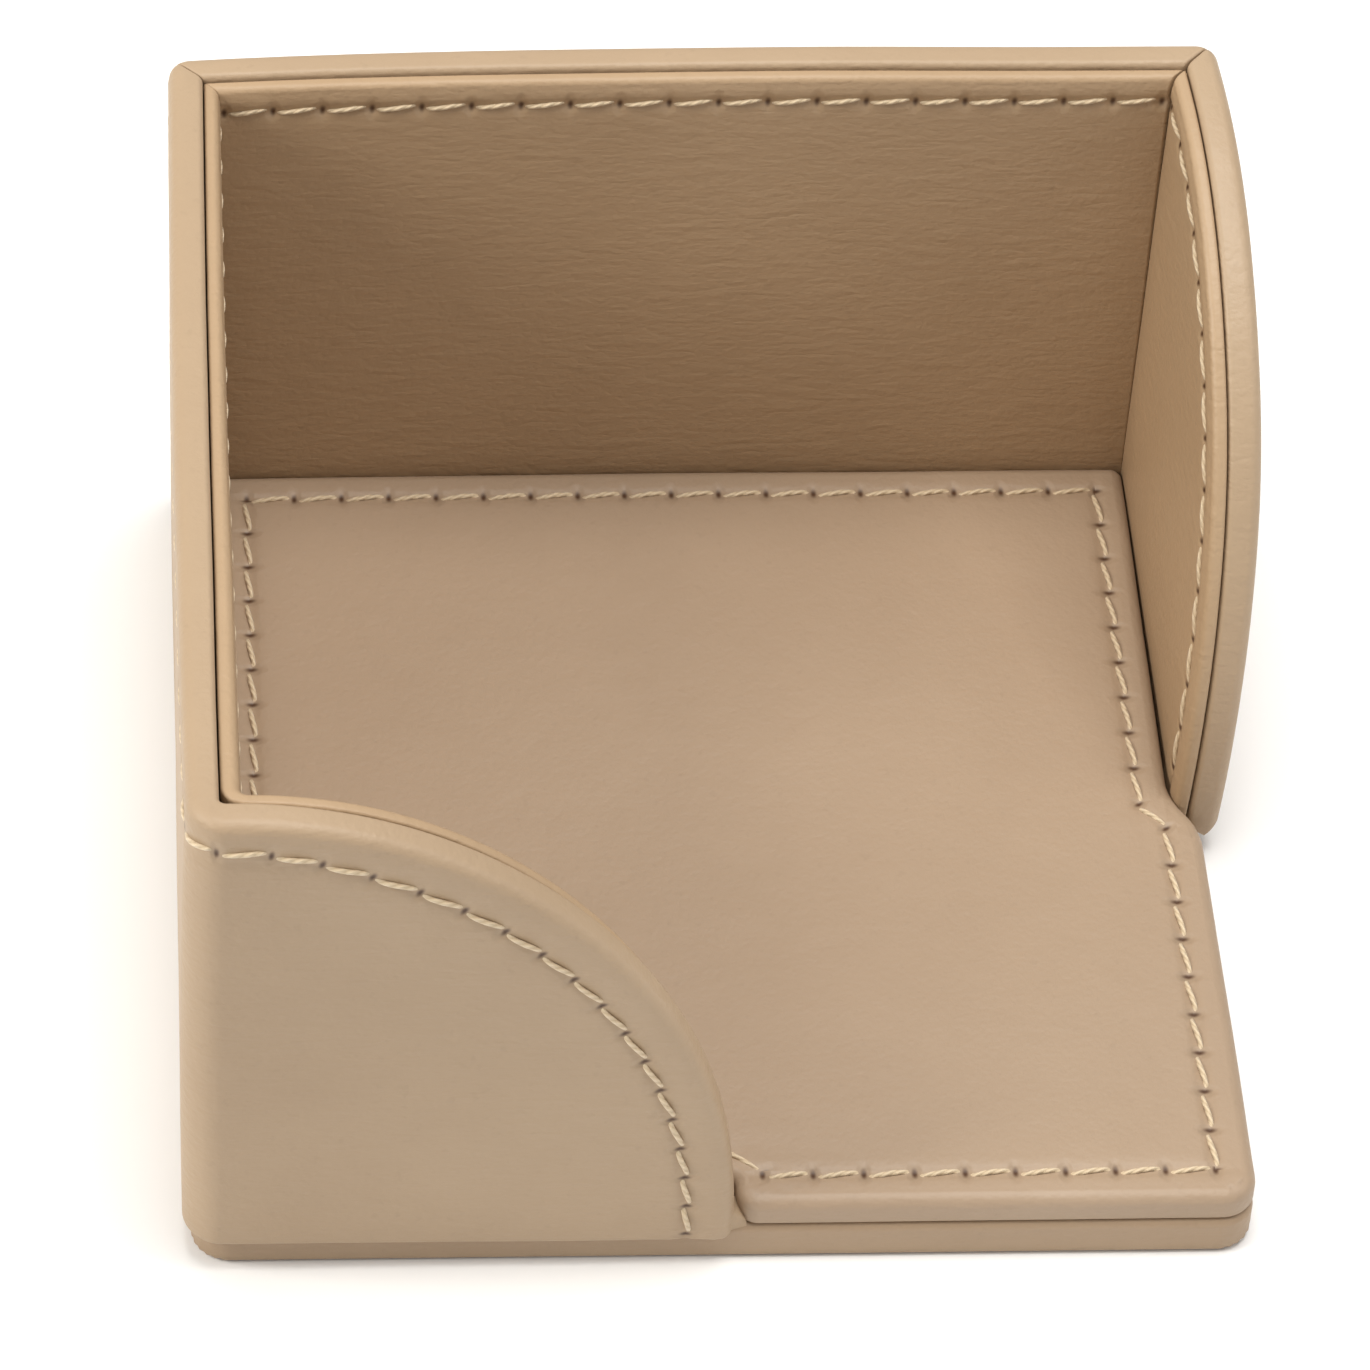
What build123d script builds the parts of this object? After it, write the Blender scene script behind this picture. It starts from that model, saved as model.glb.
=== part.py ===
from build123d import *

import os

# Sticky note holder: an open tray of leather-wrapped boards. Three and a half double walls and
# a stitched floor pad stand on a base plate, and the front and right walls sweep down to it.
# Millimetres. X to the right, Y to the back, Z up, origin under the middle of the walls.

# Overall sizes, over the outer wall faces
outer_width = 105.0
outer_depth = 106.0
outer_height = 61.0

# Layers, from the table upwards
base_thickness = 4.5
pad_thickness = 3.1

# Layers, from the outside inwards
panel_thickness = 3.4
lining_thickness = 1.6
leather = 0.5
lining_leather = 0.35

# How far the base plate stands in from the outer wall faces
base_inset_left = 1.3
base_inset_front = 0.9
base_inset_right = 2.3
base_inset_back = 1.3

# Swept walls: how far they run from the corner that they start at, and their upright foot
front_wall_length = 52.7
right_wall_length = 53.1
end_foot = 1.0

# Roundings
front_corner_radius = 4.0
back_corner_radius = 2.0
least_corner_radius = 0.4
rim_radius = 1.3
lining_rim_radius = 0.6
base_corner_radius = 3.5
base_edge_radius = 0.9
pad_corner_radius = 3.5
pad_small_radius = 1.0
pad_edge_radius = 1.2
pad_foot_radius = 0.5

# Leather turned in on the hidden sides of the boards
turn_in = 12.0
lining_turn_in = 8.0

# Clearances
pad_clearance = 0.3
liner_clearance = 0.5
lining_drop = 0.3

# How far cutters reach past what they cut
beyond = 10.0

# Stitching
stitch_pitch = 5.0
stitch_gap = 0.6
stitch_slant = 7.0
thread_diameter = 0.75
wall_stitch_inset = 4.6
lining_stitch_inset = 4.0
pad_stitch_inset = 3.6
pad_step_run = 3.4
row_end_margin = 1.2

# Places worked out from the sizes above
left = -outer_width / 2
right = outer_width / 2
front = -outer_depth / 2
back = outer_depth / 2
pad_top = base_thickness + pad_thickness
front_end = left + front_wall_length
right_end = back - right_wall_length
wall_build = panel_thickness + lining_thickness
foot_level = base_thickness + end_foot
panel_sweep_start = front_corner_radius
lining_sweep_start = wall_build + least_corner_radius
lining_top = outer_height - lining_drop

# Mitre planes of the corners, each facing the wall that is named first
mitre_left_back = Plane((left, back, 0), x_dir=(0, 0, 1), z_dir=(-1, -1, 0))
mitre_right_back = Plane((right, back, 0), x_dir=(0, 0, 1), z_dir=(1, -1, 0))
mitre_left_front = Plane((left, front, 0), x_dir=(0, 0, 1), z_dir=(-1, 1, 0))

os.makedirs("parts", exist_ok=True)


def save(part, name):
    """Label a finished piece and write it under its own name."""
    part.label = name
    export_step(part, f"parts/{name}.step")


def corner_at(depth, radius):
    """Radius of an upright wall corner at a depth behind the outer face."""
    return max(radius - depth, least_corner_radius)


def plan_at(depth):
    """Plan of the whole holder at a depth behind its outer faces."""
    with BuildSketch() as plan:
        Rectangle(outer_width - 2 * depth, outer_depth - 2 * depth)
        fillet(plan.vertices().group_by(Axis.Y)[-1], corner_at(depth, back_corner_radius))
        front_row = plan.vertices().group_by(Axis.Y)[0]
        fillet(front_row.sort_by(Axis.X)[0], corner_at(depth, front_corner_radius))
    return plan.sketch


def sweep_size(start, margin, top):
    """Reach of the front and right walls' quarter ellipses, and their height.

    Args:
        start: distance from the outer corner to the centre of the ellipse
        margin: how far the curve stays inside the finished wall's edge
        top: level of the finished wall's rim
    """
    front_reach = front_wall_length - start - margin
    right_reach = right_wall_length - start - margin
    return front_reach, right_reach, top - foot_level - margin


def sweep_planes(start, depth):
    """Planes at a depth behind the outer faces of the front and right walls.

    Their origins are the centres of the sweeps, their x axes point to the free ends and
    their y axes up.
    """
    front_centre = (left + start, front + depth, foot_level)
    right_centre = (right - depth, back - start, foot_level)
    return (
        Plane(front_centre, x_dir=(1, 0, 0), z_dir=(0, -1, 0)),
        Plane(right_centre, x_dir=(0, -1, 0), z_dir=(-1, 0, 0)),
    )


def is_rim(edge, set_in, thickness):
    """True for the long edges of a rim: along its top, down its sweeps and up its ends."""
    place = edge @ 0.5
    if edge.geom_type == GeomType.CIRCLE:
        return place.Z > foot_level
    if edge.geom_type != GeomType.LINE:
        return True
    depth = min(place.X - left, right - place.X, place.Y - front, back - place.Y)
    across = abs(depth - set_in - thickness / 2) < thickness / 4
    upright = abs((edge % 0.5).Z) > 0.5
    above_foot = place.Z > foot_level + end_foot / 10
    return not across and upright != above_foot


def wall_ring(set_in, thickness, sweep_start, top, margin=0.0, rim=0.0):
    """The walls as one ring that is open at the front right, with two swept ends.

    Args:
        set_in: how far its outer faces stand in from the holder's outer faces
        thickness: wall thickness
        sweep_start: distance from the outer corner to where its sweeps start
        top: level of the finished wall's rim
        margin: how far it stays inside the finished wall's foot, rim and ends
        rim: radius that rounds the rim, or 0 for square edges
    """
    inner = set_in + thickness
    with BuildPart() as ring:
        with BuildSketch(Plane.XY.offset(base_thickness + margin)):
            add(plan_at(set_in))
            add(plan_at(inner), mode=Mode.SUBTRACT)
            with Locations((front_end - margin, right_end + margin)):
                Rectangle(
                    outer_width,
                    outer_depth,
                    align=(Align.MIN, Align.MAX),
                    mode=Mode.SUBTRACT,
                )
        extrude(amount=top - base_thickness - 2 * margin)
        front_reach, right_reach, rise = sweep_size(sweep_start, margin, top)
        for plane, reach in zip(sweep_planes(sweep_start, 0), (front_reach, right_reach)):
            with BuildSketch(plane):
                Rectangle(reach + beyond, rise + beyond, align=(Align.MIN, Align.MIN))
                Ellipse(reach, rise, mode=Mode.SUBTRACT)
            extrude(amount=inner + beyond, both=True, mode=Mode.SUBTRACT)
        if rim:
            fillet(ring.edges().filter_by(lambda edge: is_rim(edge, set_in, thickness)), rim)
    return ring.part


def cut_at(solid, sides):
    """The share of a solid that lies on the named sides of the mitre planes."""
    with BuildPart() as share:
        add(solid)
        for plane, keep in sides:
            split(bisect_by=plane, keep=keep)
    return share.part


def without(solid, *removed):
    """A solid less the solids that fill it."""
    with BuildPart() as rest:
        add(solid)
        for other in removed:
            add(other, mode=Mode.SUBTRACT)
    return rest.part


def write_walls(ring, core, window, kind):
    """Cut one ring of walls into its boards and the leather round them, and write them.

    Args:
        ring: the finished walls
        core: their boards
        window: where the leather leaves the hidden side of the boards bare
        kind: word that tells the pieces of this ring from the other's
    """
    before_left = (mitre_left_back, Keep.TOP)
    behind_left = (mitre_left_back, Keep.BOTTOM)
    board_sides = {
        "left": (before_left, (mitre_left_front, Keep.TOP)),
        "front": (before_left, (mitre_left_front, Keep.BOTTOM)),
        "back": (behind_left, (mitre_right_back, Keep.BOTTOM)),
        "right": (behind_left, (mitre_right_back, Keep.TOP)),
    }
    cover_sides = {
        "left_front": (before_left,),
        "back": board_sides["back"],
        "right": board_sides["right"],
    }
    skin = without(ring, core, window)
    for side, sides in board_sides.items():
        save(cut_at(core, sides), f"{side}_{kind}_board")
    for side, sides in cover_sides.items():
        save(cut_at(skin, sides), f"{side}_{kind}_cover")


def plate(outline, bottom, thickness, inset=0.0):
    """A flat plate over an outline, moved in from its edge."""
    with BuildPart() as flat:
        with BuildSketch(Plane.XY.offset(bottom)):
            add(outline)
            if inset:
                offset(amount=-inset, kind=Kind.INTERSECTION)
        extrude(amount=thickness)
    return flat.part


# Outer walls
panel_ring = wall_ring(0, panel_thickness, panel_sweep_start, outer_height, rim=rim_radius)
panel_board = panel_thickness - 2 * leather
panel_core = wall_ring(leather, panel_board, panel_sweep_start, outer_height, leather)
panel_back = panel_thickness - leather
panel_window = wall_ring(panel_back, leather, panel_sweep_start, outer_height, turn_in)
write_walls(panel_ring, panel_core, panel_window, "wall")

# Linings on the inner faces of the walls
lining_ring = wall_ring(
    panel_thickness, lining_thickness, lining_sweep_start, lining_top, rim=lining_rim_radius
)
lining_board = lining_thickness - 2 * lining_leather
lining_core = wall_ring(
    panel_thickness + lining_leather, lining_board, lining_sweep_start, lining_top, lining_leather
)
lining_window = wall_ring(
    panel_thickness, lining_leather, lining_sweep_start, lining_top, lining_turn_in
)
write_walls(lining_ring, lining_core, lining_window, "lining")

# Base plate: a board in leather that is turned in underneath, and a liner that closes it
base_left = left + base_inset_left
base_right = right - base_inset_right
base_front = front + base_inset_front
base_back = back - base_inset_back
with BuildSketch() as base_outline:
    with Locations((base_left, base_front)):
        Rectangle(base_right - base_left, base_back - base_front, align=(Align.MIN, Align.MIN))
    fillet(base_outline.vertices(), base_corner_radius)

with BuildPart() as base_block:
    add(plate(base_outline.sketch, 0, base_thickness))
    levels = base_block.edges().group_by(Axis.Z)
    fillet(levels[0] + levels[-1], base_edge_radius)

base_board = plate(base_outline.sketch, leather, base_thickness - 2 * leather, leather)
base_window = plate(base_outline.sketch, 0, leather, turn_in)
base_liner = plate(base_outline.sketch, 0, leather, turn_in + liner_clearance)
save(base_board, "base_board")
save(without(base_block.part, base_board, base_window), "base_cover")
save(base_liner, "base_underside_liner")

# Floor pad: it fits between the linings, and steps out over the base beyond the walls' ends
pad_left = left + wall_build + pad_clearance
pad_back = back - wall_build - pad_clearance
pad_right_walled = right - wall_build - pad_clearance
pad_front_walled = front + wall_build + pad_clearance
step_front = front_end + pad_clearance
step_right = right_end - pad_clearance
with BuildSketch() as pad_outline:
    with BuildLine():
        Polyline(
            (pad_left, pad_back),
            (pad_left, pad_front_walled),
            (step_front, pad_front_walled),
            (step_front, base_front),
            (base_right, base_front),
            (base_right, step_right),
            (pad_right_walled, step_right),
            (pad_right_walled, pad_back),
            close=True,
        )
    make_face()
    to_front_right = Axis((0, 0, 0), (1, -1, 0))
    fillet(pad_outline.vertices().sort_by(to_front_right)[-1], pad_corner_radius)
    small_corners = pad_outline.vertices().filter_by(
        lambda corner: corner.X < step_front + pad_clearance or corner.Y > step_right - pad_clearance
    )
    fillet(small_corners, pad_small_radius)

with BuildPart() as pad_block:
    add(plate(pad_outline.sketch, base_thickness, pad_thickness))
    fillet(pad_block.edges().group_by(Axis.Z)[-1], pad_edge_radius)
    fillet(pad_block.edges().group_by(Axis.Z)[0], pad_foot_radius)

pad_board = plate(pad_outline.sketch, base_thickness + leather, pad_thickness - 2 * leather, leather)
pad_window = plate(pad_outline.sketch, base_thickness, leather, turn_in)
save(pad_board, "floor_board")
save(without(pad_block.part, pad_board, pad_window), "floor_cover")

# One stitch: a half-round length of thread, flat side down
thread_length = stitch_pitch - stitch_gap
with BuildPart() as thread:
    with BuildSketch(Plane.YZ.offset(-thread_length / 2)):
        Circle(thread_diameter / 2)
        Rectangle(
            thread_diameter,
            thread_diameter,
            align=(Align.CENTER, Align.MAX),
            mode=Mode.SUBTRACT,
        )
    extrude(amount=thread_length)


def stitches(path, outward):
    """Places for the stitches along an edge, thread along x and outward z."""
    count = max(round(path.length / stitch_pitch), 1)
    places = []
    for index in range(count):
        start = path @ (index / count)
        end = path @ ((index + 1) / count)
        seat = Plane((start + end) / 2, x_dir=end - start, z_dir=outward)
        places.append(seat.location * Rotation(0, 0, stitch_slant))
    return places


def straight_row(start, end, outward):
    """Places for the stitches of a straight row."""
    return stitches(Edge.make_line(start, end), outward)


def swept_row(plane, reach, rise, outward):
    """Places for the stitches that follow a sweep down to its foot."""
    with BuildLine(plane) as line:
        EllipticalCenterArc((0, 0), reach, rise, 90, arc_size=-90)
    return stitches(line.edges()[0], outward)


def sew(places, name):
    """Write the threads of a row, lying on the leather: one half-round solid each."""
    with BuildPart() as threads:
        with Locations(*places):
            add(thread.part)
    save(threads.part, name)


# Stitching round the floor pad, with a slanted stitch at each step
row_left = pad_left + pad_stitch_inset
row_back = pad_back - pad_stitch_inset
row_right_walled = pad_right_walled - pad_stitch_inset
row_front_walled = pad_front_walled + pad_stitch_inset
row_right = base_right - pad_stitch_inset
row_front = base_front + pad_stitch_inset
with BuildLine(Plane.XY.offset(pad_top)) as floor_rows:
    Polyline(
        (row_left, row_back),
        (row_left, row_front_walled),
        (step_front, row_front_walled),
        (step_front + pad_step_run, row_front),
        (row_right, row_front),
        (row_right, step_right - pad_step_run),
        (row_right_walled, step_right),
        (row_right_walled, row_back),
        close=True,
    )
floor_places = []
for floor_row in floor_rows.edges():
    floor_places += stitches(floor_row, (0, 0, 1))
sew(floor_places, "floor_stitching")

# Stitching below the outer rims, left out where the leather goes round the front corner
rim_row = outer_height - wall_stitch_inset
panel_front, panel_right = sweep_planes(panel_sweep_start, 0)
front_reach, right_reach, rise = sweep_size(panel_sweep_start, wall_stitch_inset, outer_height)
left_places = straight_row(
    (left, back - back_corner_radius, rim_row),
    (left, front + front_corner_radius, rim_row),
    (-1, 0, 0),
)
front_places = swept_row(panel_front, front_reach, rise, (0, -1, 0))
sew(left_places + front_places, "left_front_wall_stitching")
back_places = straight_row(
    (left + back_corner_radius, back, rim_row),
    (right - back_corner_radius, back, rim_row),
    (0, 1, 0),
)
sew(back_places, "back_wall_stitching")
sew(swept_row(panel_right, right_reach, rise, (1, 0, 0)), "right_wall_stitching")

# Stitching below the rims of the linings, as far down as the floor pad leaves it free
lining_row = lining_top - lining_stitch_inset
inner_left = left + wall_build
inner_right = right - wall_build
inner_front = front + wall_build
inner_back = back - wall_build
lining_front, lining_right = sweep_planes(lining_sweep_start, wall_build)
front_reach, right_reach, rise = sweep_size(lining_sweep_start, lining_stitch_inset, lining_top)
lowest = pad_top + thread_length / 2 + row_end_margin
left_places = straight_row(
    (inner_left, inner_back - row_end_margin, lining_row),
    (inner_left, inner_front + row_end_margin, lining_row),
    (1, 0, 0),
)
back_places = straight_row(
    (inner_left + row_end_margin, inner_back, lining_row),
    (inner_right - row_end_margin, inner_back, lining_row),
    (0, -1, 0),
)
front_places = swept_row(lining_front, front_reach, rise, (0, 1, 0))
right_places = swept_row(lining_right, right_reach, rise, (-1, 0, 0))
sew(left_places, "left_lining_stitching")
sew(back_places, "back_lining_stitching")
sew([place for place in front_places if place.position.Z > lowest], "front_lining_stitching")
sew([place for place in right_places if place.position.Z > lowest], "right_lining_stitching")
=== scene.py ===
"""Sticky note holder in sewn leather over board: looks, light and camera.

Lengths in the classes are millimetres, and each mesh is scaled to metres as its last step.
A wall's leather is made flat and then folded round the holder: x runs along the wall, y
goes from its visible face into it, and z is up.
"""

import logging
import math
from dataclasses import dataclass, field, replace
from enum import Enum
from typing import Callable, Iterable, Sequence

import bmesh
import bpy
from mathutils import Matrix, Vector, noise


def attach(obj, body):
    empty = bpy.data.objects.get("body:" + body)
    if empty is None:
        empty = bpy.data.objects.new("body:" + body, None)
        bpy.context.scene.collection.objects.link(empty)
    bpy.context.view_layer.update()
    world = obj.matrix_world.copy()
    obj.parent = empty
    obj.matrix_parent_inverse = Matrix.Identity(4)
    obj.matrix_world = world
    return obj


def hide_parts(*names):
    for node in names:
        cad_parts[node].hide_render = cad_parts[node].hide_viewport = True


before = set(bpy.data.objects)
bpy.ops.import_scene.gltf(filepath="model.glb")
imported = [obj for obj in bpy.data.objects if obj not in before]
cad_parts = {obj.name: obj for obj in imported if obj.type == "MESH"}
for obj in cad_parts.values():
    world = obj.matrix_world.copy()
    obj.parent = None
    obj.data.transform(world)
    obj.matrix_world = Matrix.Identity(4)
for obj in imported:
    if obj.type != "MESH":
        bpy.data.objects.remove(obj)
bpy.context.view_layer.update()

LOG = logging.getLogger("note_holder")
BODY = "root"
TO_METRES = 0.001
WAVER_SEED = 1
FULL_TURN = 2 * math.pi
QUARTER_TURN = math.pi / 2
SAME_LEVEL = 1e-3
SAME_PLACE = 1e-4
CUT_SPACING = 6.0
SWEEP_STEPS = 48
FAR_FROM_ROW = 9.0
ROW_MAP = "StitchRow"
TWIST_MAP = "Twist"
WINDOW = "window"
Point = tuple[float, float]
Place = tuple[float, float, float]
Colour = tuple[float, float, float]
Socket = bpy.types.NodeSocket
Mesh = bmesh.types.BMesh
Face = bmesh.types.BMFace


class Slot(Enum):
    """Material slots."""

    LEATHER = "leather"
    LINING = "leather_lining"
    BOARD = "board"
    THREAD = "thread"


@dataclass(frozen=True)
class HolderSizes:
    """Sizes of the holder."""

    width: float = 105.0
    depth: float = 106.0
    height: float = 61.0
    base_thickness: float = 4.5
    pad_thickness: float = 3.1
    panel_thickness: float = 3.4
    lining_thickness: float = 1.6
    leather: float = 0.5
    lining_leather: float = 0.35
    turn_in: float = 12.0
    lining_turn_in: float = 8.0
    base_inset_left: float = 1.3
    base_inset_front: float = 0.9
    base_inset_right: float = 2.3
    base_inset_back: float = 1.3
    base_corner_radius: float = 3.5
    base_edge_radius: float = 0.9
    front_wall_length: float = 52.7
    right_wall_length: float = 53.1
    right_wall_lean: float = 3.8
    end_foot: float = 1.0
    front_corner_radius: float = 4.0
    back_corner_radius: float = 2.0
    lining_corner_radius: float = 0.8
    rim_radius: float = 1.3
    lining_rim_radius: float = 0.7
    lining_back_rim_radius: float = 0.35
    lining_drop: float = 0.55
    lining_gap: float = 0.15
    front_lining_short: float = 1.3
    right_lining_sweep_start: float = 0.4
    pad_gap: float = 0.1
    pad_edge_radius: float = 1.2
    pad_foot_radius: float = 0.5
    pad_clearance: float = 0.3
    pad_step_run: float = 3.4
    stitch_pitch: float = 5.0
    wall_stitch_inset: float = 4.6
    wall_row_margin: float = 2.0
    lining_stitch_inset: float = 2.9
    lining_row_margin: float = 0.6
    pad_stitch_inset: float = 3.6

    @property
    def left(self) -> float:
        """Outer face of the left wall."""
        return -self.width / 2

    @property
    def right(self) -> float:
        """Outer face of the right wall."""
        return self.width / 2

    @property
    def front(self) -> float:
        """Outer face of the front wall."""
        return -self.depth / 2

    @property
    def back(self) -> float:
        """Outer face of the back wall."""
        return self.depth / 2

    @property
    def base_right(self) -> float:
        """Right edge of the base and of the floor."""
        return self.right - self.base_inset_right

    @property
    def base_front(self) -> float:
        """Front edge of the base and of the floor."""
        return self.front + self.base_inset_front

    @property
    def wall_build(self) -> float:
        """Thickness of a wall with its lining."""
        return self.panel_thickness + self.lining_thickness

    @property
    def inner_width(self) -> float:
        """Width between the linings' visible faces."""
        return self.width - 2 * self.wall_build

    @property
    def inner_depth(self) -> float:
        """Depth between the linings' visible faces."""
        return self.depth - 2 * self.wall_build

    @property
    def front_straight(self) -> float:
        """Length of the front wall beyond its rounded corner."""
        return self.front_wall_length - self.front_corner_radius

    @property
    def front_lining_straight(self) -> float:
        """Length of the front lining beyond its rounded corner."""
        inner = self.front_wall_length - self.wall_build - self.lining_corner_radius
        return inner - self.front_lining_short

    @property
    def right_lining_length(self) -> float:
        """Length of the right lining."""
        return self.right_wall_length - self.wall_build

    @property
    def step_front(self) -> float:
        """Place across the floor of its step at the front wall's free end."""
        return self.left + self.front_wall_length + self.pad_clearance

    @property
    def step_right(self) -> float:
        """Place along the floor of its step at the right wall's free end."""
        return self.back - self.right_wall_length - self.pad_clearance

    @property
    def pad_top(self) -> float:
        """Level of the floor's leather."""
        return self.base_thickness + self.pad_thickness

    @property
    def foot_level(self) -> float:
        """Level of the centres of the walls' sweeps."""
        return self.base_thickness + self.end_foot

    @property
    def lining_top(self) -> float:
        """Level of the linings' rims."""
        return self.height - self.lining_drop


SIZES = HolderSizes()


def clamp(share: float) -> float:
    """Keep a share between 0 and 1."""
    return min(max(share, 0.0), 1.0)


@dataclass(frozen=True)
class HandWork:
    """How far the hand-made holder departs from straight and square.

    Attributes:
        waver: how far the leather wavers
        waves: waves in a millimetre
        waver_rise: height at which it would waver in level as far as in place
        level_share: how much of that it reaches
        corner_in: how far the top of the back left corner is drawn in
        back_out: how far the back stands out, and how much more at its top
        back_up: how far its top stands up
        foot_up: how far the foot of the back's leather is lifted
        foot_rise: height over the base at which it is
        left_foot_in: how far the left wall's foot is drawn in, and how much less in front
        left_rim_in: how far its rim is drawn in at the front
        left_outside: where its outside ends, and width over which that fades
        left_lining_in: how far its lining's rim stands inwards at the front
        left_lining: the same as left_outside, for the lining's two sides
    """

    waver: float = 0.14
    waves: float = 0.045
    waver_rise: float = 6.0
    level_share: float = 0.6
    corner_in: Place = (0.55, -0.5, -0.3)
    back_out: Point = (0.35, 0.3)
    back_up: float = 0.55
    foot_up: float = 0.35
    foot_rise: float = 2.5
    left_foot_in: Point = (0.85, 0.35)
    left_rim_in: float = 0.75
    left_outside: Point = (-48.0, 3.0)
    left_lining_in: float = 0.6
    left_lining: tuple[Point, Point] = ((-49.1, 1.6), (-42.0, 5.0))

    def settle(self, place: Vector) -> Vector:
        """Move a point as the leather wavers and the back stands out and up.

        Args:
            place: the point

        Returns:
            The moved point.
        """
        slow = noise.noise_vector(place * self.waves)
        slow.z *= min(place.z / self.waver_rise, self.level_share)
        back = clamp((place.y + SIZES.back) / SIZES.depth) ** 2
        left = clamp((SIZES.right - place.x) / SIZES.width) ** 4
        high = place.z / SIZES.height
        drawn = Vector(self.corner_in) * left * high
        out = self.back_out[0] + self.back_out[1] * high
        stood = Vector((0.0, out, self.back_up * high)) * (1 - left)
        lifted = clamp((place.z - SIZES.base_thickness) / self.foot_rise) * (1 - high)
        raised = Vector((0.0, 0.0, self.foot_up)) * lifted
        return place + slow * self.waver + (drawn + stood + raised) * back

    def tuck(self, spot: Vector, level: float) -> float:
        """Tell how far a point of the left wall is drawn in.

        Args:
            spot: the point on the plan
            level: its level

        Returns:
            The way to the right, or 0 for the other walls.
        """
        high, forward = level / SIZES.height, max(-spot.y / SIZES.back, 0.0)
        foot_in, less = self.left_foot_in
        drawn = (foot_in - less * forward) * (1 - high)
        drawn += self.left_rim_in * forward ** 1.5 * high ** 4
        edge, fade = self.left_outside
        outside = clamp((edge - spot.x) / fade)
        (hidden, hidden_fade), (shown, shown_fade) = self.left_lining
        lining = clamp((spot.x - hidden) / hidden_fade) * clamp((shown - spot.x) / shown_fade)
        return drawn * outside + self.left_lining_in * forward * high ** 4 * lining


HAND = HandWork()


# Shader groups


class TreeMaker:
    """Short calls for the nodes and links of one node tree."""

    tree: bpy.types.NodeTree

    def feed(self, target: Socket, value: object) -> None:
        """Link a socket to an input, or set the input to a value."""
        if isinstance(value, Socket):
            self.tree.links.new(value, target)
        else:
            target.default_value = value

    def node(self, kind: str, **values: object) -> bpy.types.Node:
        """Add a node.

        Args:
            kind: type of the node
            values: properties of the node, or its inputs by their names

        Returns:
            The new node.
        """
        made = self.tree.nodes.new(f"ShaderNode{kind}")
        for label, value in values.items():
            if hasattr(made, label):
                setattr(made, label, value)
            else:
                self.feed(made.inputs[label], value)
        return made

    def math(self, operation: str, *terms: object) -> Socket:
        """Add a Math node.

        Args:
            operation: what it does
            terms: numbers or sockets that it works on

        Returns:
            Its output.
        """
        made = self.node("Math", operation=operation)
        for target, term in zip(made.inputs, terms):
            self.feed(target, term)
        return made.outputs[0]

    def ramp(
        self, value: Socket, start: object, end: object, to: Point = (0.0, 1.0),
        smooth: bool = False,
    ) -> Socket:
        """Turn a stretch of values into another.

        Args:
            value: what is turned
            start: where the stretch starts
            end: where it ends
            to: what its two ends become
            smooth: whether it eases in and out

        Returns:
            The output.
        """
        ease = "SMOOTHSTEP" if smooth else "LINEAR"
        made = self.node("MapRange", Value=value, interpolation_type=ease)
        for label, term in zip(("From Min", "From Max", "To Min", "To Max"), (start, end, *to)):
            self.feed(made.inputs[label], term)
        return made.outputs[0]


@dataclass
class GroupMaker(TreeMaker):
    """Builds one shader node group with named inputs and outputs."""

    name: str
    inputs: dict[str, float]
    outputs: Sequence[str]

    def __post_init__(self) -> None:
        """Create the group with its sockets."""
        self.tree = bpy.data.node_groups.new(self.name, "ShaderNodeTree")
        for side, labels in (("INPUT", self.inputs), ("OUTPUT", self.outputs)):
            for label in labels:
                socket = self.tree.interface.new_socket(
                    name=label, in_out=side, socket_type="NodeSocketFloat"
                )
                socket.default_value = self.inputs.get(label, 0.0)
        self.start = self.tree.nodes.new("NodeGroupInput").outputs
        self.end = self.tree.nodes.new("NodeGroupOutput").inputs


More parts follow.
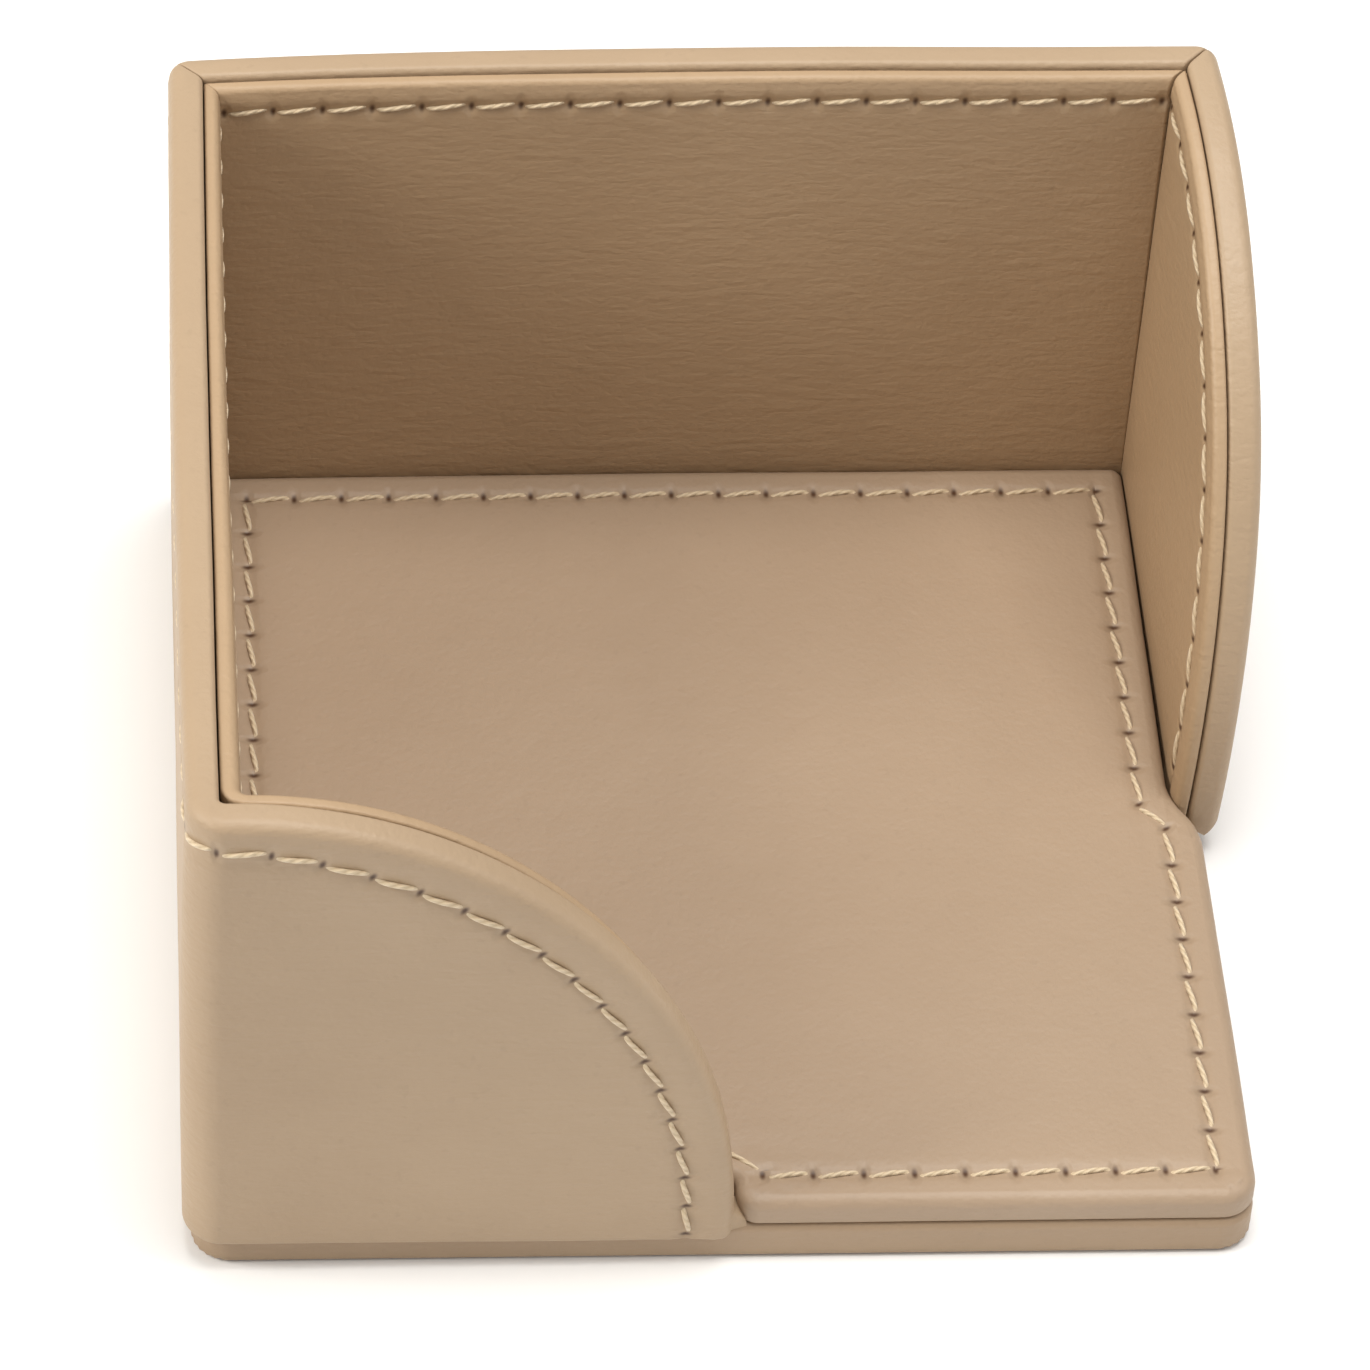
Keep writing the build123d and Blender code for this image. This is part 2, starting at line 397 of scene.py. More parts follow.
class SharedEffects:
    """Shader node groups that several materials use, each built once."""

    def __init__(self) -> None:
        """Build the groups."""
        self.grain = self.build_grain()
        self.needle_holes = self.build_needle_holes()
        self.mottle = self.build_mottle()

    @staticmethod
    def build_grain() -> bpy.types.NodeTree:
        """Build the fine grain of smooth leather: pores, pebbles and drawn wrinkles.

        Returns:
            The group.
        """
        group = GroupMaker("LeatherGrain", {"Pebbles": 1500.0, "Wrinkles": 1.0}, ("Height", "Pores"))
        place = group.node("TexCoord").outputs["Object"]
        scale = group.start["Pebbles"]
        pebbles = group.node("TexVoronoi", Vector=place, Scale=scale)
        soft = group.node("TexNoise", Vector=place, Scale=scale, Detail=4.0, Roughness=0.6)
        drawn = group.node("Mapping", Vector=place, Scale=(1.0, 1.0, 4.0))
        lines = group.node("TexNoise", Vector=drawn.outputs[0], Scale=160.0, Detail=5.0)
        ridge = group.math("ABSOLUTE", group.math("SUBTRACT", lines.outputs["Fac"], 0.5))
        ridge = group.math("MULTIPLY", ridge, group.start["Wrinkles"])
        height = group.math("MULTIPLY", soft.outputs["Fac"], 0.8)
        height = group.math("MULTIPLY_ADD", pebbles.outputs["Distance"], -0.5, height)
        group.feed(group.end["Height"], group.math("MULTIPLY_ADD", ridge, 2.0, height))
        specks = group.node("TexNoise", Vector=place, Scale=900.0, Detail=2.0)
        group.feed(group.end["Pores"], group.ramp(specks.outputs["Fac"], 0.63, 0.72))
        return group.tree

    @staticmethod
    def build_needle_holes() -> bpy.types.NodeTree:
        """Build the needle holes and the dip along a row, on the row's own map: Hole masks where the
        holes get their painted shade, and Height is their relief.

        One unit of the map is one stitch, along the row and across it.

        Returns:
            The group.
        """
        group = GroupMaker("NeedleHoles", {"Size": 0.1, "Dip": 0.3}, ("Hole", "Height"))
        place = group.node("UVMap", uv_map=ROW_MAP)
        split = group.node("SeparateXYZ", Vector=place.outputs[0])
        across = group.math("ABSOLUTE", split.outputs["Y"])
        slit = group.math("MULTIPLY", group.math("PINGPONG", split.outputs["X"], 0.5), 1.5)
        narrow = group.math("MULTIPLY", across, 0.75)
        square = group.math("MULTIPLY", narrow, narrow)
        reach = group.math("SQRT", group.math("MULTIPLY_ADD", slit, slit, square))
        hole_shade = group.ramp(reach, 0.02, group.start["Size"], (1.0, 0.0), smooth=True)
        group.feed(group.end["Hole"], hole_shade)
        pucker = group.ramp(reach, 0.0, 0.28, (-1.0, 0.0), smooth=True)
        dip = group.ramp(across, 0.0, 0.22, (-1.0, 0.0), smooth=True)
        depth = group.math("MULTIPLY_ADD", dip, group.start["Dip"], pucker)
        group.feed(group.end["Height"], depth)
        return group.tree

    @staticmethod
    def build_mottle() -> bpy.types.NodeTree:
        """Build soft uneven patches, as dye and handling leave them.

        Returns:
            The group.
        """
        group = GroupMaker("Mottle", {"Scale": 30.0}, ("Patches",))
        place = group.node("TexCoord").outputs["Object"]
        patches = group.node(
            "TexNoise", Vector=place, Scale=group.start["Scale"], Detail=4.0, Roughness=0.55
        )
        group.feed(group.end["Patches"], group.ramp(patches.outputs["Fac"], 0.3, 0.7))
        return group.tree


# Finishes


@dataclass
class MaterialMaker(TreeMaker):
    """Builds one material round a Principled shader."""

    name: str
    roughness: float
    sheen: float = 0.0

    def __post_init__(self) -> None:
        """Create the material with its shader."""
        self.material = bpy.data.materials.new(self.name)
        self.material.use_nodes = True
        self.tree = self.material.node_tree
        self.shader = self.tree.nodes["Principled BSDF"].inputs
        self.shader["Roughness"].default_value = self.roughness
        self.shader["Sheen Weight"].default_value = self.sheen

    def group(self, tree: bpy.types.NodeTree, **values: float) -> bpy.types.NodeOutputs:
        """Place a shared effect.

        Args:
            tree: the effect's node group
            values: its inputs

        Returns:
            Its outputs.
        """
        made = self.node("Group", node_tree=tree)
        for label, value in values.items():
            made.inputs[label].default_value = value
        return made.outputs

    def blend(self, share: Socket, low: object, high: object) -> Socket:
        """Mix two colours.

        Args:
            share: share of the second colour
            low: first colour, or its socket
            high: second colour, or its socket

        Returns:
            The mixed colour.
        """
        made = self.node("Mix", data_type="RGBA", Factor=share)
        for target, colour in ((made.inputs[6], low), (made.inputs[7], high)):
            self.feed(target, colour if isinstance(colour, Socket) else (*colour, 1.0))
        return made.outputs[2]

    def finish(
        self, colour: Socket, heights: Iterable[tuple[Socket, float, float]],
        roughness: Socket | None = None,
    ) -> bpy.types.Material:
        """Join colour, relief and roughness to the shader.

        Args:
            colour: base colour
            heights: height sockets, each with its strength and its distance in metres
            roughness: roughness that changes over the surface, if any

        Returns:
            The material.
        """
        self.feed(self.shader["Base Color"], colour)
        normal = None
        for height, strength, distance in heights:
            bump = self.node("Bump", Height=height, Strength=strength, Distance=distance)
            if normal:
                self.feed(bump.inputs["Normal"], normal)
            normal = bump.outputs[0]
        self.feed(self.shader["Normal"], normal)
        if roughness:
            self.feed(self.shader["Roughness"], roughness)
        return self.material


@dataclass(frozen=True)
class LeatherFinish:
    """Smooth dyed leather with a fine grain, and the needle holes of its sewn row, whose dark colour
    is painted shade.
    """

    name: str
    light: Colour
    deep: Colour
    sewn: bool = True
    roughness: float = 0.5
    roughness_spread: float = 0.08
    # colour of the painted shade in the needle holes
    hole_shade: Colour = (0.075, 0.032, 0.013)
    hole_size: float = 0.14
    grain_depth: float = 0.0001
    row_depth: float = 0.0003

    def build(self, effects: SharedEffects) -> bpy.types.Material:
        """Build the material.

        Args:
            effects: the shared node groups

        Returns:
            The material.
        """
        maker = MaterialMaker(self.name, self.roughness)
        patches = maker.group(effects.mottle, Scale=28.0)["Patches"]
        grain = maker.group(effects.grain, Pebbles=1500.0, Wrinkles=1.8)
        colour = maker.blend(patches, self.light, self.deep)
        specks = maker.math("MULTIPLY", grain["Pores"], 0.12)
        colour = maker.blend(specks, colour, [part * 0.72 for part in self.deep])
        heights = [(grain["Height"], 0.55, self.grain_depth)]
        if self.sewn:
            row = maker.group(effects.needle_holes, Size=self.hole_size, Dip=0.45)
            # paint the needle holes dark: painted shade in the holes
            colour = maker.blend(row["Hole"], colour, self.hole_shade)
            heights.append((row["Height"], 0.8, self.row_depth))
        least = self.roughness - self.roughness_spread / 2
        rough = maker.math("MULTIPLY_ADD", patches, self.roughness_spread, least)
        return maker.finish(colour, heights, rough)


@dataclass(frozen=True)
class ThreadFinish:
    """Twisted sewing thread of two plies, on its own map along and round the thread, with painted
    shade in the grooves between the plies.
    """

    name: str
    light: Colour
    deep: Colour
    plies: float = 2.0
    turns: float = 0.85
    fibres: float = 6.0
    roughness: float = 0.6
    sheen: float = 0.25

    def build(self, effects: SharedEffects) -> bpy.types.Material:
        """Build the material.

        Args:
            effects: the shared node groups

        Returns:
            The material.
        """
        maker = MaterialMaker(self.name, self.roughness, self.sheen)
        place = maker.node("UVMap", uv_map=TWIST_MAP)
        along, around, _ = maker.node("SeparateXYZ", Vector=place.outputs[0]).outputs
        turn = maker.math("MULTIPLY", along, self.turns)
        turn = maker.math("MULTIPLY_ADD", around, self.plies, turn)
        ply = maker.math("MULTIPLY", maker.math("PINGPONG", turn, 0.5), 2.0)
        fibre = maker.math("PINGPONG", maker.math("MULTIPLY", turn, self.fibres), 0.5)
        grain = maker.group(effects.grain, Pebbles=5200.0, Wrinkles=0.0)
        # darker towards the grooves between the plies: painted shade
        colour = maker.blend(maker.math("POWER", ply, 0.6), self.deep, self.light)
        heights = [(ply, 0.8, 0.00012), (fibre, 0.35, 0.00003), (grain["Height"], 0.3, 0.00005)]
        return maker.finish(colour, heights)


@dataclass(frozen=True)
class BoardFinish:
    """Grey board with flecks of fibre, or the felt of the liner."""

    name: str
    light: Colour
    deep: Colour
    fibres: float
    relief: float
    sheen: float = 0.0
    roughness: float = 0.85

    def build(self, effects: SharedEffects) -> bpy.types.Material:
        """Build the material.

        Args:
            effects: the shared node groups

        Returns:
            The material.
        """
        maker = MaterialMaker(self.name, self.roughness, self.sheen)
        flecks = maker.group(effects.mottle, Scale=self.fibres)["Patches"]
        patches = maker.group(effects.mottle, Scale=60.0)["Patches"]
        colour = maker.blend(flecks, self.light, self.deep)
        share = maker.math("MULTIPLY", patches, 0.3)
        colour = maker.blend(share, colour, [part * 0.8 for part in self.deep])
        return maker.finish(colour, [(flecks, 0.6, self.relief)])


# Routes and rows


@dataclass(frozen=True)
class Route:
    """The line that a wall's visible face follows on the plan.

    It starts straight, may turn left once round an arc, and goes on straight.

    Attributes:
        start: where it starts
        heading: unit direction of its first stretch
        side: 1 where the wall's thickness lies to the left of the line, or -1
        first: length of the first stretch
        radius: radius of the arc, or 0 where it goes straight on
        lean: how far the wall leans out to the right at its free upper corner
        rounded: runs of the outer corners that are rounded
        corner: their radius
    """

    start: Point
    heading: Point
    side: int
    first: float = 0.0
    radius: float = 0.0
    lean: float = 0.0
    rounded: tuple[float, ...] = ()
    corner: float = SIZES.back_corner_radius

    @property
    def bend(self) -> float:
        """Length of the arc."""
        return self.radius * QUARTER_TURN

    @property
    def turned(self) -> float:
        """Run at which the arc ends."""
        return self.first + self.bend

    def soften(self, run: float, depth: float) -> Point:
        """Round a point near an outer corner from square to round.

        Args:
            run: distance along the wall
            depth: distance behind its visible face

        Returns:
            The new run and depth.
        """
        for end in self.rounded:
            inwards = -1 if end else 1
            along = self.corner - (run - end) * inwards
            behind = self.corner - depth
            if along > 0 and behind > 0:
                shrink = max(along, behind) / math.hypot(along, behind)
                run = end + inwards * (self.corner - along * shrink)
                depth = self.corner - behind * shrink
        return run, depth

    def place(self, flat: Vector) -> Vector:
        """Fold a point of the flat leather to its place on the holder.

        Args:
            flat: run along the wall, depth behind its visible face, and level

        Returns:
            The point in the holder's frame.
        """
        run, depth = self.soften(flat.x, flat.y)
        ahead = Vector(self.heading)
        left = Vector((-ahead.y, ahead.x))
        inset = self.side * depth
        if not self.radius or run <= self.first:
            spot = Vector(self.start) + ahead * run + left * inset
        else:
            spot = Vector(self.start) + ahead * self.first + left * self.radius
            angle = min((run - self.first) / self.radius, QUARTER_TURN)
            outward = ahead * math.sin(angle) - left * math.cos(angle)
            spot += outward * (self.radius - inset) + left * max(run - self.turned, 0.0)
        free = (SIZES.back - spot.y) / SIZES.back * flat.z / SIZES.height
        spot.x += self.lean * max(free, 0.0)
        spot.x += HAND.tuck(spot, flat.z)
        return HAND.settle(Vector((spot.x, spot.y, flat.z)))


@dataclass
class StitchRow:
    """A row of stitches along straight stretches or curves, in flat coordinates.

    Attributes:
        knots: points of the row's line
        count: number of stitches, or 0 for as many as fit the pitch
        ease: how much longer the first stitches are than the last, as a share
        slant: how far a stitch's ends lie to the two sides of the line
    """

    knots: list[Point]
    count: int = 0
    ease: float = 0.0
    slant: float = 0.28

    def __post_init__(self) -> None:
        """Measure the line and settle the number of stitches."""
        self.runs = [0.0]
        for here, there in zip(self.knots, self.knots[1:]):
            self.runs.append(self.runs[-1] + math.dist(here, there))
        self.count = self.count or max(round(self.runs[-1] / SIZES.stitch_pitch), 1)
        self.pitch = self.runs[-1] / self.count

    def run_of(self, stitches: float) -> float:
        """Distance along the line after a number of stitches."""
        share = stitches / self.count
        return self.runs[-1] * (share + self.ease * share * (1 - share))

    def stitches_of(self, run: float) -> float:
        """Count the stitches up to a distance along the line.

        Args:
            run: the distance

        Returns:
            Their number, with the part of the last.
        """
        share = run / self.runs[-1]
        if self.ease:
            root = max((1 + self.ease) ** 2 - 4 * self.ease * share, 0.0)
            share = (1 + self.ease - math.sqrt(root)) / (2 * self.ease)
        return share * self.count

    def at(self, run: float) -> tuple[Vector, Vector]:
        """Find a place on the line.

        Args:
            run: distance along it

        Returns:
            The point, and the line's unit direction there.
        """
        index = 0
        while index < len(self.runs) - 2 and run > self.runs[index + 1]:
            index += 1
        here, there = Vector(self.knots[index]), Vector(self.knots[index + 1])
        along = (there - here).normalized()
        return here + along * (run - self.runs[index]), along

    def distance(self, spot: Vector) -> tuple[float, int]:
        """Measure how far a point lies from the line.

        Args:
            spot: the point

        Returns:
            The distance, and the number of the nearest stretch.
        """
        best, nearest = math.inf, 0
        for index, (here, there) in enumerate(zip(self.knots, self.knots[1:])):
            start, reach = Vector(here), Vector(there) - Vector(here)
            share = clamp((spot - start).dot(reach) / reach.length_squared)
            away = (spot - start - reach * share).length
            if away < best:
                best, nearest = away, index
        return best, nearest

    def map_point(self, spot: Vector, stretch: int) -> Point:
        """Map a point to the row: stitches along it, and stitches across it.

        Args:
            spot: the point
            stretch: number of the stretch that it is measured from

        Returns:
            The place on the row's map.
        """
        start = Vector(self.knots[stretch])
        along = (Vector(self.knots[stretch + 1]) - start).normalized()
        run = self.runs[stretch] + (spot - start).dot(along)
        across = (spot - start).dot(Vector((-along.y, along.x)))
        return self.stitches_of(run), across / self.pitch


def sweep_line(start: float, reach: float, top: float, drop: float = 0.0) -> list[Point]:
    """Lay a row's line along a wall's sweep, from its top down to its foot.

    Args:
        start: run of the sweep's centre
        reach: how far the row reaches beyond it
        top: level at which it starts
        drop: level at which it is left off

    Returns:
        Its points.
    """
    points = []
    for index in range(SWEEP_STEPS + 1):
        angle = QUARTER_TURN * index / SWEEP_STEPS
        level = SIZES.foot_level + (top - SIZES.foot_level) * math.cos(angle)
        if level >= drop:
            points.append((start + reach * math.sin(angle), level))
    return points


# Pieces


@dataclass
class Piece:
    """A piece while it is made, with its mesh in millimetres."""

    name: str
    bm: Mesh = field(init=False)

    def start(self) -> None:
        """Start its mesh."""
        self.bm = bmesh.new()
        self.bm.faces.layers.int.new(WINDOW)

    def cut(
        self, at: Sequence[float], facing: Sequence[float], clear: bool = False,
        geometry: list | None = None,
    ) -> list:
        """Cut the mesh with a plane.

        Args:
            at: a point of the plane
            facing: the plane's normal
            clear: whether what lies on the side of the normal goes
            geometry: what is cut, or nothing for the whole mesh

        Returns:
            The edges along the cut.
        """
        result = bmesh.ops.bisect_plane(
            self.bm, geom=geometry or self.bm.verts[:] + self.bm.edges[:] + self.bm.faces[:],
            dist=SAME_PLACE, plane_co=at, plane_no=facing, clear_outer=clear,
        )
        return [part for part in result["geom_cut"] if isinstance(part, bmesh.types.BMEdge)]

    def bevel(self, edges: Iterable[bmesh.types.BMEdge], radius: float, segments: int) -> None:
        """Round edges.

        Args:
            edges: the edges
            radius: radius of the rounding
            segments: number of steps
        """
        bmesh.ops.bevel(
            self.bm, geom=list(edges), offset=radius, offset_type="OFFSET", affect="EDGES",
            segments=segments, profile=0.5, material=-1, clamp_overlap=False,
        )

    def inset(self, face: Face, width: float) -> None:
        """Draw a frame of even width inside a face."""
        bmesh.ops.inset_region(
            self.bm, faces=[face], thickness=width, use_even_offset=True, use_boundary=True
        )

    def extrude(self, way: Place) -> None:
        """Raise the drawn outline to a solid.

        Args:
            way: which way, and how far
        """
        made = bmesh.ops.extrude_face_region(self.bm, geom=self.bm.faces[:])["geom"]
        verts = [part for part in made if isinstance(part, bmesh.types.BMVert)]
        bmesh.ops.translate(self.bm, vec=way, verts=verts)
        bmesh.ops.recalc_face_normals(self.bm, faces=self.bm.faces)

    def faces_at(self, axis: int, level: float) -> list[Face]:
        """Find the faces that lie square to an axis at a level.

        Args:
            axis: 0, 1 or 2 for x, y or z
            level: where they lie

        Returns:
            The faces.
        """
        return [
            face for face in self.bm.faces
            if all(abs(vert.co[axis] - level) < SAME_LEVEL for vert in face.verts)
        ]

    def face_at(self, axis: int, level: float) -> Face:
        """Find the largest face that lies square to an axis at a level."""
        return max(self.faces_at(axis, level), key=lambda face: face.calc_area())

    def mark_window(self, face: Face) -> None:
        """Mark a hidden face that the leather leaves open, for later."""
        face[self.bm.faces.layers.int[WINDOW]] = 1

    def map_rows(
        self, rows: Sequence[StitchRow], axes: tuple[int, int], visible: Callable[[Vector], bool]
    ) -> None:
        """Write the map that the needle holes follow.

        Args:
            rows: the rows of stitches
            axes: the mesh axes that the rows' coordinates stand for
            visible: tells whether a face's centre lies on the side that is sewn
        """
        layer = self.bm.loops.layers.uv.new(ROW_MAP)
        for face in self.bm.faces:
            middle = face.calc_center_median()
            spot = Vector([middle[axis] for axis in axes])
            near = min(((*row.distance(spot), row) for row in rows), key=lambda hit: hit[0])
            away, stretch, row = near
            for loop in face.loops:
                if away > FAR_FROM_ROW or not visible(middle):
                    loop[layer].uv = (0.5, FAR_FROM_ROW)
                else:
                    corner = Vector([loop.vert.co[axis] for axis in axes])
                    loop[layer].uv = row.map_point(corner, stretch)

    def face_outwards(self) -> None:
        """Turn the faces outwards, if they all point inwards."""
        if self.bm.calc_volume(signed=True) < 0:
            bmesh.ops.reverse_faces(self.bm, faces=self.bm.faces)

    def open_window(self) -> None:
        """Turn the faces outwards, and take out those that are marked."""
        bmesh.ops.recalc_face_normals(self.bm, faces=self.bm.faces)
        self.face_outwards()
        layer = self.bm.faces.layers.int[WINDOW]
        marked = [face for face in self.bm.faces if face[layer]]
        bmesh.ops.delete(self.bm, geom=marked, context="FACES")

    def finish(self, material: bpy.types.Material, skin: float = 0.0) -> bpy.types.Object:
        """Turn the mesh into a smooth object in metres.

        Args:
            material: its material
            skin: thickness of the leather, or 0 for a solid

        Returns:
            The object, at the origin.
        """
        bmesh.ops.scale(self.bm, vec=(TO_METRES,) * 3, verts=self.bm.verts)
        mesh = bpy.data.meshes.new(self.name)
        self.bm.to_mesh(mesh)
        self.bm.free()
        for polygon in mesh.polygons:
            polygon.use_smooth = True
        mesh.materials.append(material)
        name = f"scene_{self.name}" if self.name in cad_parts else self.name
        made = bpy.data.objects.new(name, mesh)
        bpy.context.scene.collection.objects.link(made)
        if skin:
            shell = made.modifiers.new("Leather", "SOLIDIFY")
            shell.thickness = skin * TO_METRES
            shell.offset = -1.0
        return made

    @staticmethod
    def take_place(made: bpy.types.Object, slot: Slot, node: str) -> None:
        """Attach a piece to the frame in place of a solid.

        Args:
            made: the piece
            slot: its material slot; not used
            node: the solid that it stands for
        """
        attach(made, BODY)
        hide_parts(node)
        LOG.info("%s: %d faces", made.name, len(made.data.polygons))


@dataclass(frozen=True)
class Ring:
    """A step of a panel's cushioned edge: its width, and the level of its inner line."""

    width: float
    level: float


WALL_RINGS = (
    Ring(0.5, 0.09), Ring(0.8, 0.03), Ring(1.4, -0.02), Ring(0.6, -0.14), Ring(0.6, -0.03),
    Ring(0.9, 0.04), Ring(2.0, 0.05),
)
LINING_RINGS = (
    Ring(0.4, 0.12), Ring(0.5, 0.19), Ring(0.55, 0.19), Ring(0.5, 0.06),
    Ring(0.45, -0.08), Ring(0.5, 0.03), Ring(0.9, 0.09), Ring(2.0, 0.10),
)


@dataclass
class Panel(Piece):
    """A wall's leather or board, made flat and folded along its route.

    Attributes:
        route: where its visible face goes
        end: run at which it ends, or where its sweep's foot stands
        thickness: thickness of the wall
        top: level of its rim
        mitre: 1 where its corners close on the visible side, -1 on the hidden side
        far_mitre: the same for its far end, where that differs
        sweep: run of the sweep's centre, or None where it ends in a mitre
        rim: radius of its rim
        hidden_rim: radius of its rim on the hidden side
        turn_in: width of the leather on the hidden side, or 0 for a solid board
        rings: its cushioned edge
        rows: its rows of stitches
        skin: thickness of the leather
        margin: how far a board keeps inside the leather
        before: how much longer it is made before its mitre is cut
        crease: radius of the leather at its mitres
        parting: gap at its mitres
        overhang: how far it reaches below its foot at its free end
        lowest: depth behind its visible face at which it does
        ear: how far the folded leather stands out at the foot of its free end
    """

    CURVE_STEPS = 64
    RIM_STEPS = 7
    END_STEPS = 3
    FOOT_RADIUS = 0.4
    TURN_IN_SPARE = 0.8
    FOOT_HEIGHT = 0.5
    OVERHANG_SPREAD = 2.2
    EAR_LEVELS = (0.7, 1.4, 2.0)
    EAR_HEIGHT = 2.1
    EAR_LENGTH = 0.6
    EAR_DEPTH = 0.9
    SEWN_DEPTH = 0.5

    route: Route
    end: float
    thickness: float
    top: float
    mitre: int
    far_mitre: int | None = None
    sweep: float | None = None
    rim: float = 0.0
    hidden_rim: float = 0.6
    turn_in: float = 0.0
    rings: tuple[Ring, ...] = ()
    rows: list[StitchRow] = field(default_factory=list)
    skin: float = 0.0
    margin: float = 0.0
    before: float = 8.1
    crease: float = 0.2
    parting: float = 0.05
    overhang: float = 0.0
    lowest: float = 0.0
    ear: float = 0.0

    @property
    def foot(self) -> float:
        """Level of its foot."""
        return SIZES.base_thickness + self.margin

    def outline(self) -> None:
        """Draw its face, wider than the wall where a mitre or the foot is cut later."""
        top = self.top - self.margin
        spare = self.turn_in - self.TURN_IN_SPARE if self.turn_in else self.before
        below = self.foot - spare
        if self.sweep is None:
            far = self.end + self.before
            corners = [(-self.before, below), (-self.before, top), (far, top), (far, below)]
            self.bm.faces.new([self.bm.verts.new((run, self.margin, z)) for run, z in corners])
            return
        verts = [self.bm.verts.new((-self.before, self.margin, z)) for z in (below, top)]
        bmesh.ops.spin(
            self.bm, geom=[self.bm.verts.new((self.sweep, self.margin, top))],
            cent=(self.sweep, self.margin, SIZES.foot_level), axis=(0, 1, 0),
            angle=QUARTER_TURN, steps=self.CURVE_STEPS,
        )
        self.bm.verts.ensure_lookup_table()
        curve = self.bm.verts[2:]
        reach = self.end - self.margin - self.sweep
        bmesh.ops.scale(
            self.bm, vec=(reach / (top - SIZES.foot_level), 1, 1), verts=curve,
            space=Matrix.Translation((-self.sweep, 0, 0)),
        )
        last = self.bm.verts.new((self.sweep + reach, self.margin, below))
        self.bm.faces.new([*verts, *curve, last])

    def thicken(self) -> None:
        """Give it its thickness and round its rim."""
        self.extrude((0, self.thickness - 2 * self.margin, 0))
        if self.rim:
            for level, radius in ((self.margin, self.rim), (self.thickness, self.hidden_rim)):
                self.bevel(self.face_at(1, level).edges, radius, self.RIM_STEPS)

    def cushion(self) -> None:
        """Raise and sink the leather along its edge, and open its hidden side."""
        face = self.face_at(1, 0.0)
        level = 0.0
        for ring in self.rings:
            self.inset(face, ring.width)
            bmesh.ops.translate(self.bm, vec=(0, level - ring.level, 0), verts=face.verts)
            level = ring.level
        hidden = self.face_at(1, self.thickness)
        self.inset(hidden, self.turn_in - self.hidden_rim)
        self.mark_window(hidden)

    def trim(self) -> None:
        """Cut its foot and its mitres, and close them."""
        ends = [
            ((0, 0, self.foot), (0, 0, -1), self.FOOT_RADIUS),
            ((self.parting, 0, 0), (-1, self.mitre, 0), self.crease),
        ]
        if self.sweep is None:
            far = self.mitre if self.far_mitre is None else self.far_mitre
            ends.append(((self.end - self.parting, 0, 0), (1, far, 0), self.crease))
        for at, facing, radius in ends:
            edges = self.cut(at, facing, clear=True)
            made = bmesh.ops.contextual_create(self.bm, geom=edges)["faces"]
            if not self.margin:
                self.bevel({edge for face in made for edge in face.edges}, radius, self.END_STEPS)

    def shape_foot(self) -> None:
        """Let the visible side hang over the base, and draw the folded leather out."""
        if self.ear:
            for level in self.EAR_LEVELS:
                self.cut((0, 0, self.foot + level), (0, 0, 1))
        for vert in self.bm.verts:
            up, free = vert.co.z - self.foot, self.end - vert.co.x
            if self.overhang and up < self.FOOT_HEIGHT:
                share = clamp(1 - free / (self.end - self.sweep))
                near = max(1 - abs(vert.co.y - self.lowest) / self.OVERHANG_SPREAD, 0.0)
                vert.co.z -= self.overhang * share * near
            folded = up < self.EAR_HEIGHT and free < self.EAR_LENGTH and vert.co.y > self.EAR_DEPTH
            if self.ear and folded:
                vert.co.x += self.ear * (1 - max(up, 0.0) / self.EAR_HEIGHT)

    def add_cuts(self) -> None:
        """Add the lines that let it bend, lean and lie a little uneven."""
        runs = [step * CUT_SPACING for step in range(1, int(self.end / CUT_SPACING) + 1)]
        for end in self.route.rounded:
            inwards = -1 if end else 1
            runs += [end + inwards * self.route.corner * step / 4 for step in range(1, 6)]
        if self.route.radius:
            steps = 12 if self.route.radius > 1 else 6
            share = self.route.bend / steps
            runs += [self.route.first + share * step for step in range(steps + 1)]
        for run in runs:
            self.cut((run, 0, 0), (1, 0, 0))
        for step in range(1, 10):
            self.cut((0, 0, self.foot + step * CUT_SPACING), (0, 0, 1))

    def build(self, material: bpy.types.Material, slot: Slot) -> None:
        """Make the piece and attach it.

        Args:
            material: its material
            slot: its material slot
        """
        self.start()
        self.outline()
        self.thicken()
        if self.turn_in:
            self.cushion()
        self.trim()
        self.shape_foot()
        self.add_cuts()
        if self.rows:
            self.map_rows(self.rows, (0, 2), lambda middle: middle.y < self.SEWN_DEPTH)
        for vert in self.bm.verts:
            vert.co = self.route.place(vert.co)
        self.open_window()
        made = self.finish(material, self.skin)
        self.take_place(made, slot, self.name.replace("leather", "cover"))


